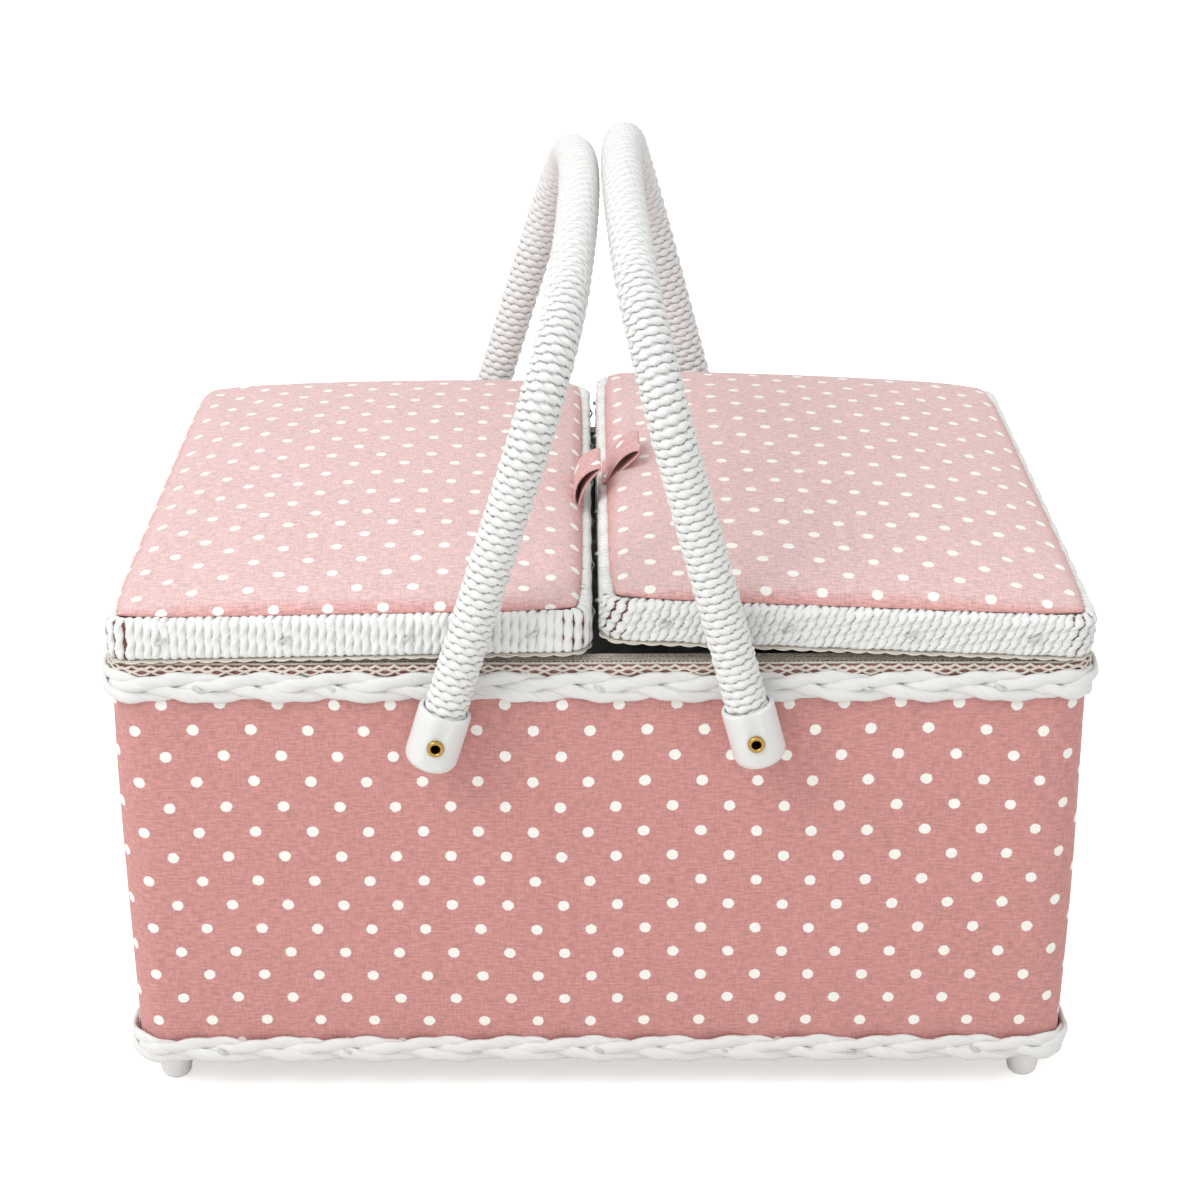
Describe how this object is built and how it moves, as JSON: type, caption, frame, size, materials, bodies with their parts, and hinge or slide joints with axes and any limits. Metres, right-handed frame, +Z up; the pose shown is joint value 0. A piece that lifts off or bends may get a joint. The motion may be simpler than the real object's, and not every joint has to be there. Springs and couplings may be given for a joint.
{
  "type": "sewing carrier with two lids",
  "caption": "Padded, fabric-covered sewing carrier on four feet, with two hinged lids, a lift-out tray and two folding hoop handles wound with white cord.",
  "frame": {"origin": "on the floor, under the middle of the box", "axes": "+X along the box from the left lid's hinges to the right lid's, +Y from front to back, +Z up"},
  "size_m": [0.3828, 0.3144, 0.352],
  "materials": {
    "dusty_pink_dotted_cotton": "matte",
    "pale_pink_dotted_cotton": "matte",
    "cream_cotton": "matte",
    "cotton_crochet_lace": "matte",
    "white_paper_cord": "satin",
    "fibreboard": "matte",
    "cane": "matte",
    "painted_wood": "semi-gloss",
    "white_tray_plastic": "gloss",
    "milky_cap_plastic": "gloss",
    "galvanised_wire": "satin",
    "brass": "polished"
  },
  "bodies": {
    "box": {"base_board": "fibreboard", "front_panel": "fibreboard", "back_panel": "fibreboard", "left_panel": "fibreboard", "right_panel": "fibreboard", "body_cover": "dusty_pink_dotted_cotton", "body_lining": "cream_cotton", "top_braid": "white_paper_cord", "bottom_braid": "white_paper_cord", "wall_lace": "cotton_crochet_lace", "braid_staples": "galvanised_wire", "foot_front_left": "painted_wood", "foot_front_right": "painted_wood", "foot_back_left": "painted_wood", "foot_back_right": "painted_wood", "foot_screws": "galvanised_wire", "tray": "white_tray_plastic", "tray_rests": "fibreboard", "left_hinge_body_leaves": "brass", "right_hinge_body_leaves": "brass", "left_hinge_pins": "brass", "right_hinge_pins": "brass", "hinge_body_screws": "brass", "left_front_rivet": "brass", "left_back_rivet": "brass", "right_front_rivet": "brass", "right_back_rivet": "brass", "pivot_washers": "brass", "pivot_spacers": "milky_cap_plastic"},
    "left_lid": {"left_lid_frame": "cane", "left_lid_binding": "white_paper_cord", "left_lid_board": "fibreboard", "left_lid_pad": "pale_pink_dotted_cotton", "left_lid_lining": "cream_cotton", "left_lid_lace": "cotton_crochet_lace", "left_lid_staples": "galvanised_wire", "left_pull_tab": "dusty_pink_dotted_cotton", "left_hinge_lid_leaves": "brass", "left_hinge_lid_screws": "brass", "notions_pocket": "cream_cotton"},
    "right_lid": {"right_lid_frame": "cane", "right_lid_binding": "white_paper_cord", "right_lid_board": "fibreboard", "right_lid_pad": "pale_pink_dotted_cotton", "right_lid_lining": "cream_cotton", "right_lid_lace": "cotton_crochet_lace", "right_lid_staples": "galvanised_wire", "right_pull_tab": "dusty_pink_dotted_cotton", "right_hinge_lid_leaves": "brass", "right_hinge_lid_screws": "brass", "pincushion": "dusty_pink_dotted_cotton"},
    "left_handle": {"left_handle_core": "cane", "left_handle_winding": "white_paper_cord", "left_front_cap": "milky_cap_plastic", "left_back_cap": "milky_cap_plastic"},
    "right_handle": {"right_handle_core": "cane", "right_handle_winding": "white_paper_cord", "right_front_cap": "milky_cap_plastic", "right_back_cap": "milky_cap_plastic"}
  },
  "joints": [
    {"name": "left_lid_hinge", "type": "hinge", "parent": "box", "child": "left_lid", "pos_m": [-0.1892, 0, 0.1888], "axis": [0, -1, 0], "range_deg": [0, 187]},
    {"name": "right_lid_hinge", "type": "hinge", "parent": "box", "child": "right_lid", "pos_m": [0.1892, 0, 0.1888], "axis": [0, 1, 0], "range_deg": [0, 185.5]},
    {"name": "left_handle_pivot", "type": "hinge", "parent": "box", "child": "left_handle", "pos_m": [-0.061, 0, 0.1645], "axis": [0, -1, 0], "range_deg": [0, 132]},
    {"name": "right_handle_pivot", "type": "hinge", "parent": "box", "child": "right_handle", "pos_m": [0.0575, 0, 0.166], "axis": [0, 1, 0], "range_deg": [0, 129]}
  ]
}
